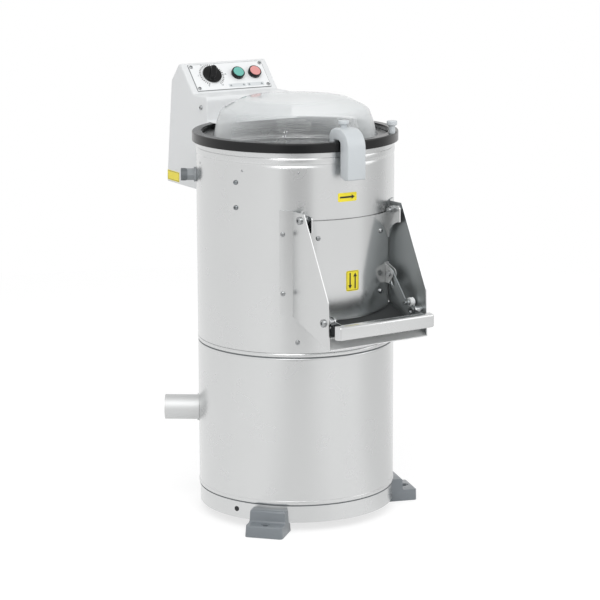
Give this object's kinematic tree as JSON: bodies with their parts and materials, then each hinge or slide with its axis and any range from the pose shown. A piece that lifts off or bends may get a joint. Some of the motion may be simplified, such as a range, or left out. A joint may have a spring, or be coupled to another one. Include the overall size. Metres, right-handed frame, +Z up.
{
  "type": "garlic peeling machine",
  "caption": "Upright drum peeler with a clear turning lid, a discharge door linked to a tipping tray, a turntable and a control box.",
  "frame": {"origin": "on the floor plane, at the centre of the circle of the three floor bolts, which is the drum's axis", "axes": "+Z up along the drum's axis, -Y out through the discharge door, +X to the right of a person facing the door"},
  "size_m": [0.4815, 0.7041, 0.8948],
  "materials": {
    "stainless": "brushed vertically, satin",
    "steel_trim": "polished fasteners and turned steel",
    "cast_grey": "grey paint on a casting, satin",
    "box_grey": "light grey powder coat",
    "arm_grey": "light grey coat on a casting",
    "black_metal": "black satin coat",
    "plastic_grey": "dark grey moulded plastic",
    "rubber_black": "black rubber",
    "panel_white": "printed white plate",
    "switch_dark": "black moulded plastic",
    "motor_grey": "grey coated housing",
    "clear_plastic": "clear moulded dome",
    "nylon_white": "white nylon",
    "peeling_grit": "abrasive faced plate",
    "button_green": "green cap",
    "button_red": "red cap"
  },
  "bodies": {
    "frame": {"base_ring": "stainless", "foot_front": "cast_grey", "foot_right": "cast_grey", "foot_rear": "cast_grey", "foot_bolts": "steel_trim", "lower_shell": "stainless", "upper_shell": "stainless", "drum_floor": "stainless", "chamber_liner": "stainless", "drain_riser": "stainless", "drain_elbow": "stainless", "drain_pipe": "stainless", "inlet_body": "plastic_grey", "inlet_cap": "plastic_grey", "rim_ring": "black_metal", "mouth_collar": "steel_trim", "stop_post": "arm_grey", "cheek_left": "stainless", "cheek_right": "stainless", "chute_floor": "stainless", "cheek_bolts": "steel_trim", "hinge_bolts": "steel_trim", "pivot_bolts": "steel_trim", "control_box": "box_grey", "rear_cover": "box_grey", "panel_plate": "panel_white", "box_screws": "steel_trim", "timer_body": "switch_dark", "button_bezels": "switch_dark", "switch_bodies": "switch_dark", "contactor": "switch_dark", "cable_gland": "plastic_grey", "motor": "motor_grey", "motor_mount": "steel_trim", "bearing_housing": "cast_grey", "bearings": "steel_trim", "belt": "rubber_black", "drum_screws": "steel_trim"},
    "lid_ring": {"lid_seal": "rubber_black"},
    "lid": {"dome": "clear_plastic", "lid_frame": "black_metal", "lid_arm": "arm_grey", "arm_knob": "arm_grey"},
    "door": {"discharge_door": "stainless", "door_seal": "rubber_black", "door_backing": "stainless", "door_bolts": "steel_trim", "clevis_lug": "steel_trim", "clevis_pin": "steel_trim"},
    "tray": {"tray": "stainless", "tray_handle": "stainless", "roller_axle": "steel_trim"},
    "roller": {"roller": "nylon_white"},
    "turntable": {"peeling_plate": "peeling_grit", "drive_shaft": "steel_trim", "driven_pulley": "cast_grey"},
    "motor_pulley": {"motor_pulley": "steel_trim"},
    "timer_knob": {"timer_knob": "switch_dark"},
    "start_button": {"start_button": "button_green"},
    "stop_button": {"stop_button": "button_red"}
  },
  "joints": [
    {"name": "lid_lift", "type": "slide", "parent": "frame", "child": "lid_ring", "axis": [0, 0, 1], "range_m": [0, 0.12]},
    {"name": "lid_turn", "type": "hinge", "parent": "lid_ring", "child": "lid", "pos_m": [0, 0, 0.77], "axis": [0, 0, 1], "range_deg": [0, 35]},
    {"name": "tray_tilt", "type": "hinge", "parent": "frame", "child": "tray", "pos_m": [0, -0.271, 0.447], "axis": [1, 0, 0], "range_deg": [0, 28]},
    {"name": "door_swing", "type": "hinge", "parent": "frame", "child": "door", "pos_m": [0, -0.19, 0.636], "axis": [1, 0, 0], "range_deg": [-18.5, 0]},
    {"name": "roller_spin", "type": "hinge", "parent": "tray", "child": "roller", "pos_m": [0.1075, -0.249, 0.4585], "axis": [1, 0, 0], "continuous": true},
    {"name": "turntable_spin", "type": "hinge", "parent": "frame", "child": "turntable", "pos_m": [0, 0, 0.42], "axis": [0, 0, 1], "continuous": true},
    {"name": "motor_spin", "type": "hinge", "parent": "frame", "child": "motor_pulley", "pos_m": [0.09526, -0.055, 0.325], "axis": [0, 0, 1], "continuous": true},
    {"name": "timer_turn", "type": "hinge", "parent": "frame", "child": "timer_knob", "pos_m": [-0.0198, 0.28354, 0.86737], "axis": [-0.0539, -0.7173, 0.6947], "range_deg": [0, 300]},
    {"name": "start_press", "type": "slide", "parent": "frame", "child": "start_button", "axis": [0.0539, 0.7173, -0.6947], "range_m": [0, 0.003], "stiffness_N_per_m": 400},
    {"name": "stop_press", "type": "slide", "parent": "frame", "child": "stop_button", "axis": [0.0539, 0.7173, -0.6947], "range_m": [0, 0.003], "stiffness_N_per_m": 400}
  ],
  "couplings": [
    {"joint": "door_swing", "follows": "tray_tilt", "ratio": -0.65},
    {"joint": "motor_spin", "follows": "turntable_spin", "ratio": 3}
  ]
}
